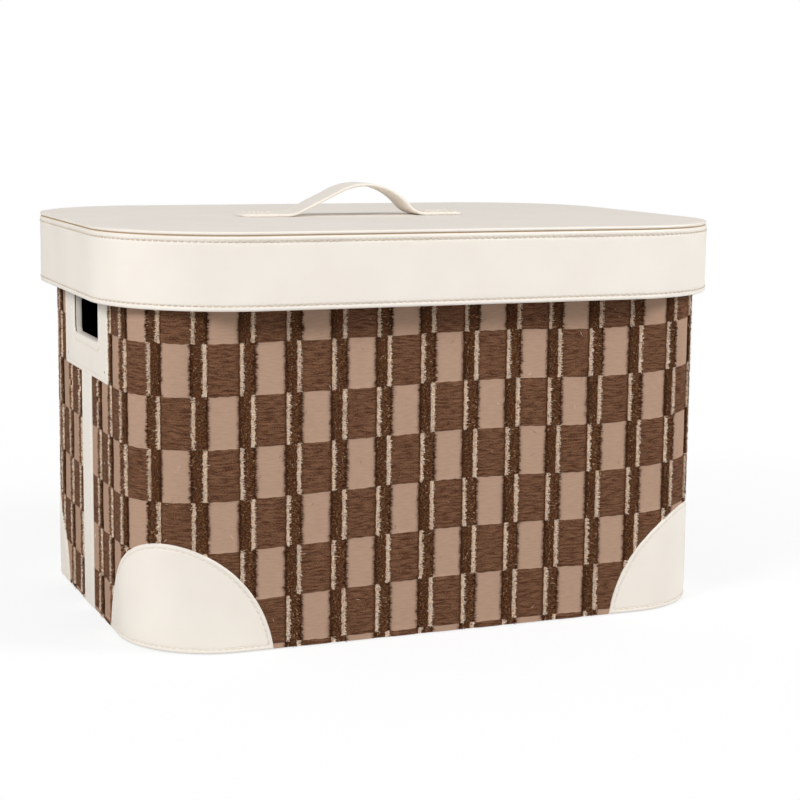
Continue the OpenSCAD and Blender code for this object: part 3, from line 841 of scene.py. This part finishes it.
def lid_skirt():
    """Leatherette down the skirt, folded under its edge and up inside as a hem."""
    inside, hem = -SKIRT_BOARD_INSIDE, -SKIRT_BOARD_INSIDE - 0.8
    face = at_level(SKIRT_TOP, [(-1.9, -0.7), (-1.2, -0.7), (-0.5, -0.8), (-0.05, -1.25), (0.2, -1.9),
                                (0.22, -2.6)])
    face += at_level(TOP_STITCH, [(0.05, 0.8), (-0.25, 0.35), (-0.42, 0), (-0.25, -0.35), (0.0, -0.8),
                                  (0.08, -1.8), (0.03, -5)])
    face += [(0.0, up) for up in np.linspace(TOP_STITCH - 10, HEM_STITCH + 5, 8)]
    face += at_level(HEM_STITCH, [(0.05, 1.6), (0.0, 0.8), (-0.2, 0.35), (-0.38, 0), (-0.15, -0.35),
                                  (0.15, -0.9), (0.3, -1.7)])
    face += at_level(SKIRT_BOTTOM, [(0.22, 0.8), (-0.1, 0.3), (-0.7, 0)])
    under = at_level(SKIRT_BOTTOM, [(-2.4, 0), (hem + 0.5, 0.1), (hem, 0.7)])
    under += at_level(HEM_TOP, [(hem, -0.3), (hem + 0.3, 0), (inside, 0)])
    under += at_level(SKIRT_BOTTOM, [(inside, 0.8), (-SKIRT_BOARD_OUTSIDE, 0.8)])
    under += at_level(SKIRT_TOP, [(-SKIRT_BOARD_OUTSIDE, -1.2), (-1.9, -1.0)])
    count = round(LID.around / STITCH_PITCH)
    s = np.arange(count * 6) * LID.around / (count * 6)
    out, up = np.array(face + under, float).T
    out = np.broadcast_to(out, (len(s), len(out))).copy()
    shown = np.arange(len(face))
    grid_s, grid_up = s[:, None], up[None, shown]
    settle = np.clip((grid_up - SKIRT_BOTTOM) / 4, 0, 1) * np.clip((SKIRT_TOP - grid_up) / 4, 0, 1)
    turns = 2 * math.pi / LID.around
    wave = sum(np.sin(grid_s * turns * n + grid_up / size + n) for n, size in ((7, 40), (13, 25), (24, 18)))
    out[:, shown] += 0.07 * wave * settle
    for row in (TOP_STITCH, HEM_STITCH):
        out[:, shown] -= 0.45 * needle_dips(grid_s, row, grid_up, count)
    points = LID.at(s[:, None], out, up[None, :])
    leather_piece("lid_skirt_cover", points, [grid_quads(len(s), len(up), True, True)], "lid")
    # The lid's stitches take the thread with painted shade
    for name, row in (("lid_top_stitching", TOP_STITCH), ("lid_hem_stitching", HEM_STITCH)):
        sewn_rows(name, [stitch_row([(0, row), (LID.around, row)],
                                    lambda s, up, h: LID.at(s, -0.2 + h, up))], "lid", SHADED_LID_THREAD)


def lid_top():
    """The lid's top panel, which tucks in behind the welt, and the welt itself."""
    edge = at_level(LID_TOP, [(2.3, -0.8), (1.9, -0.8), (1.9, -0.35), (2.2, -0.12), (2.9, -0.02),
                              (4.5, 0), (8.0, 0)])
    points, faces = flat_sheet(LID, 4.0, edge, 34, lambda x, y: ripple(x, y, 70, 0.05, 41))
    # The top panel's leatherette carries painted shade
    make_piece("lid_top_cover", points, faces, "lid", [SHADED_LID_TOP_LEATHERETTE],
               replaces=("lid_top_cover",))
    radius = WELT_DIAMETER / 2
    around = np.radians(np.arange(14) * 360 / 14)
    profile = [(-radius - 0.1 + radius * math.cos(a), LID_TOP - radius + radius * math.sin(a))
               for a in around]
    leather_piece("lid_edge_welt", *swept_ring(LID, 2.0, profile), "lid")


def lid_linings():
    """Black lining on the lid's ceiling and down to the hem."""
    inset = SKIRT_BOARD_INSIDE
    edge = at_level(LINING_CEILING, [(inset, 0.5), (inset, 0.1), (inset + 0.3, 0)])
    sheet = flat_sheet(LID, 6.0, edge, 22, lambda x, y: ripple(x, y, 60, 0.04, 51) + 0.08)
    lining_piece("lid_ceiling_lining", *sheet, "lid", "lid_top_lining")
    face = [(-inset - 0.5, up) for up in np.linspace(LINING_CEILING, HEM_TOP, 9)]
    ring = swept_ring(LID, 5.0, face + [(-inset, HEM_TOP), (-inset, LINING_CEILING)])
    lining_piece("lid_skirt_lining", *ring, "lid", "lid_skirt_lining")


# ---------- strap ----------

STRAP_LENGTH, STRAP_WIDTH, STRAP_THICK = 172, 30, 2.2
STRAP_MIDDLE, STRAP_FOOT, STRAP_SLOPE = -15, 31, 34
STRAP_RISE, STRAP_PEAK, CROWN_RADIUS = 21.8, 7, 46
STRAP_CORNER = 8


def strap_line():
    """The strap's middle line seen from the side, from left to right: the same arcs as the
    solid's, as (x, up, angle)."""
    foot_end = STRAP_LENGTH / 2 - STRAP_FOOT
    left_run, right_run = foot_end + STRAP_PEAK, foot_end - STRAP_PEAK
    left, right = (2 * math.atan(STRAP_RISE / run) for run in (left_run + STRAP_SLOPE, right_run))
    left_radius = (left_run - STRAP_SLOPE * math.cos(left)) / math.sin(left) - CROWN_RADIUS
    right_radius = right_run / math.sin(right) - CROWN_RADIUS
    slope = [(STRAP_PEAK - left_run + left_radius * math.sin(left) + along * math.cos(left),
              left_radius * (1 - math.cos(left)) + along * math.sin(left), left)
             for along in np.linspace(0, STRAP_SLOPE, 9)[:-1]]
    left, right = math.degrees(left), math.degrees(right)
    line = []

    def arc(centre_x, centre_up, radius, start, end, step):
        for angle in np.linspace(start, end, max(2, round(abs(end - start) / step)) + 1)[:-1]:
            turn = math.radians(angle)
            line.append((centre_x + radius * math.cos(turn), centre_up + radius * math.sin(turn),
                         turn - math.pi / 2 if start < 180 else turn + math.pi / 2))

    end_steps = [0, 0.25, 0.8, 1.6, 2.6, 4, 6, 8]
    line += [(-STRAP_LENGTH / 2 + e, 0, 0) for e in end_steps]
    line += [(x, 0, 0) for x in np.linspace(-STRAP_LENGTH / 2 + 10, -foot_end, 14)[:-1]]
    arc(STRAP_PEAK - left_run, left_radius, left_radius, 270, 270 + left, 1.5)
    line += slope
    arc(STRAP_PEAK, STRAP_RISE - CROWN_RADIUS, CROWN_RADIUS, 90 + left, 90 - right, 2)
    arc(STRAP_PEAK + right_run, right_radius, right_radius, 270 - right, 270, 4)
    line += [(x, 0, 0) for x in np.linspace(foot_end, STRAP_LENGTH / 2 - 10, 14)]
    line += [(STRAP_LENGTH / 2 - e, 0, 0) for e in reversed(end_steps)]
    return np.array(line)


def strap():
    """Two plies of leatherette sewn flat at both ends, with rounded corners and edges."""
    x, up, angle = strap_line().T
    from_end = np.minimum(x + STRAP_LENGTH / 2, STRAP_LENGTH / 2 - x).clip(0, STRAP_CORNER)
    half = STRAP_WIDTH / 2 - STRAP_CORNER + np.sqrt(
        np.maximum(STRAP_CORNER**2 - (STRAP_CORNER - from_end) ** 2, 0))
    thin = np.interp(from_end, [0, 0.25, 0.8, 2], [0.45, 0.75, 0.95, 1])
    r = STRAP_THICK / 2
    edge = [(r * math.cos(t), r * math.sin(t)) for t in np.radians([90, 60, 30, 0, -30, -60, -90])]
    shares = (0.85, 0.6, 0.3, 0, -0.3, -0.6, -0.85)
    # Round the section: a share of half the width, what the rounded edge adds, and the height
    loop = ([(1, a, h) for a, h in edge] + [(share, 0, -r) for share in shares]
            + [(-1, -a, h) for a, h in reversed(edge)]
            + [(-share, 0, r + 0.12 * (1 - share * share)) for share in shares])
    rings = []
    for share, beyond, h in loop:
        y, h = share * (half - r) + beyond, h * thin
        rings.append(np.stack([STRAP_MIDDLE + x - h * np.sin(angle), y,
                               LID_TOP + r + up + h * np.cos(angle)], 1))
    points = np.array(rings).transpose(1, 0, 2)
    count = len(loop)
    faces = [grid_quads(len(x), count, columns_close=True),
             np.arange(count)[None, ::-1], (len(x) - 1) * count + np.arange(count)[None]]
    leather_piece("strap_handle", points, faces, "lid", crease=50)
    rows = []
    for side in (-1, 1):
        foot_middle = STRAP_MIDDLE + side * (STRAP_LENGTH - STRAP_FOOT) / 2
        corners = [(foot_middle + a * 11, b * 10) for a, b in
                   ((-1, -1), (1, -1), (1, 1), (-1, 1), (-1, -1))]
        for start, end in zip(corners, corners[1:]):
            rows.append(stitch_row([start, end], lambda a, b, h: np.stack(
                np.broadcast_arrays(a, b, LID_TOP + STRAP_THICK + 0.12 + h), -1), pitch=3.4, length=2.8))
    sewn_rows("strap_stitching", rows, "lid", replaces=("strap_stitching",))


# ---------- put the pieces together ----------

for end, first, last, phase, seed in (("front", -SIDE_MIDDLE, SIDE_MIDDLE, FRONT_PHASE, 101),
                                      ("rear", SIDE_MIDDLE, 3 * SIDE_MIDDLE, REAR_PHASE, 202)):
    woven_fabric(end, first, last, phase, seed)
    fringe(end, first, last, phase, seed)

corner = BOX.knots[1] + BOX.radius * math.pi / 4
for place, s in (("front_left", -corner), ("front_right", corner),
                 ("rear_right", 2 * SIDE_MIDDLE - corner), ("rear_left", corner - 2 * SIDE_MIDDLE)):
    corner_guard("corner_guard_" + place, s)
for side, s in (("left", -SIDE_MIDDLE), ("right", SIDE_MIDDLE)):
    seam_strip(side, s)
    hand_hole(side, s)
rim_binding()
wall_lining()
base_sheets()
lid_skirt()
lid_top()
lid_linings()
strap()

for nodes, finish in (
        (("wall_board_front", "wall_board_rear", "wall_board_left", "wall_board_right", "base_board",
          "lid_top_board", "lid_skirt_board_front", "lid_skirt_board_rear", "lid_inner_card"), PAPERBOARD),
        (("strap_backing_left", "strap_backing_right"), CREAM_LEATHERETTE)):
    for node in nodes:
        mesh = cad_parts[node].data
        mesh.materials.clear()
        mesh.materials.append(finish)


# ---------- floor, light and camera ----------


def camera_ray_white(add, seen, seen_share, lit):
    """Mixes plain white into what the camera sees of a floor or a world."""
    path = add("LightPath")
    share = add("Math", {"operation": "MULTIPLY"}, {0: path.outputs["Is Camera Ray"], 1: seen_share})
    return add("MixShader", {}, {0: share.outputs[0], 1: lit, 2: seen})


floor_finish, add = new_finish("pale_floor")
seen_by = add("LightPath")
# Lamps light the floor as seen, but it throws less of their light back at the box
paint = add("Mix", {"data_type": "RGBA"},
            {0: seen_by.outputs["Is Camera Ray"], 6: linear("#DDDDDC"), 7: linear("#FCFCFC")})
matt = add("BsdfDiffuse", {}, {"Color": paint.outputs[2]})
white = add("Emission", {}, {"Color": (1, 1, 1, 1), "Strength": 1.0})
# The shadow shows near the box, and the floor turns into the white background beyond it
place = add("TexCoord").outputs["Object"]
away = add("VectorMath", {"operation": "LENGTH"}, {0: place})
fade = add("MapRange", {}, {0: away.outputs["Value"], 1: 0.25, 2: 0.8, 3: 0.8, 4: 1.0})
mixed = camera_ray_white(add, white.outputs[0], fade.outputs[0], matt.outputs[0])
add("OutputMaterial", {}, {"Surface": mixed.outputs[0]})
floor_mesh = bpy.data.meshes.new("floor")
floor_mesh.from_pydata([(x * 12, y * 12, -0.0003) for x, y in ((-1, -1), (1, -1), (1, 1), (-1, 1))],
                       [], [(0, 1, 2, 3)])
floor_mesh.materials.append(floor_finish)
floor = bpy.data.objects.new("floor", floor_mesh)
scene.collection.objects.link(floor)

world = bpy.data.worlds.new("studio")
scene.world = world
world.use_nodes = True
world.node_tree.nodes.clear()
add = partial(add_node, world.node_tree)
soft = add("Background", {}, {"Color": (1, 1, 1, 1), "Strength": 0.31})
white = add("Background", {}, {"Color": (1, 1, 1, 1), "Strength": 1.0})
mixed = camera_ray_white(add, white.outputs[0], 1.0, soft.outputs[0])
add("OutputWorld", {}, {"Surface": mixed.outputs[0]})


def soft_lamp(name, at, target, size, power, mirrored=True):
    """A square studio lamp at a place in metres, turned to a target. One that isn't
    mirrored leaves no shine on the lid."""
    lamp = bpy.data.lights.new(name, "AREA")
    lamp.shape = "SQUARE"
    lamp.size = size
    lamp.energy = power
    holder = bpy.data.objects.new(name, lamp)
    scene.collection.objects.link(holder)
    holder.visible_glossy = mirrored
    holder.location = at
    holder.rotation_euler = (Vector(target) - Vector(at)).to_track_quat("-Z", "Y").to_euler()


middle = (0, 0, 0.14)
soft_lamp("key_lamp", (-2.7, -1.5, 2.1), middle, 1.1, 79)
soft_lamp("fill_lamp", (2.6, -1.6, 2.1), middle, 1.1, 77)
soft_lamp("rear_lamp", (0.5, 3.0, 1.0), middle, 1.2, 24, mirrored=False)

# Fitted to the box's corners and edges in the photograph, in mm, radians and pixels
CAMERA_AT = (-507.227, -1304.2773, 356.6063)
CAMERA_YAW, CAMERA_PITCH, CAMERA_ROLL = 0.3876, -0.1466, 0.0099
FOCAL_PIXELS, CENTRE_X, CENTRE_Y = 1864.9545, 398.8983, 386.9801
PHOTO_SIZE = 800

camera_data = bpy.data.cameras.new("photo_camera")
camera = bpy.data.objects.new("photo_camera", camera_data)
scene.collection.objects.link(camera)
ahead = Vector((math.sin(CAMERA_YAW) * math.cos(CAMERA_PITCH),
                math.cos(CAMERA_YAW) * math.cos(CAMERA_PITCH), math.sin(CAMERA_PITCH)))
level = Vector((math.cos(CAMERA_YAW), -math.sin(CAMERA_YAW), 0))
above = level.cross(ahead)
turned = level * math.cos(CAMERA_ROLL) + above * math.sin(CAMERA_ROLL)
upright = above * math.cos(CAMERA_ROLL) - level * math.sin(CAMERA_ROLL)
camera.matrix_world = Matrix.Translation(Vector(CAMERA_AT) * MM) @ Matrix(
    (turned, upright, -ahead)).transposed().to_4x4()
camera_data.sensor_width = 36
camera_data.lens = FOCAL_PIXELS / PHOTO_SIZE * camera_data.sensor_width
camera_data.shift_x = (PHOTO_SIZE / 2 - CENTRE_X) / PHOTO_SIZE
camera_data.shift_y = (CENTRE_Y - PHOTO_SIZE / 2) / PHOTO_SIZE
camera_data.clip_end = 50
scene.camera = camera
scene.view_settings.view_transform = "Standard"
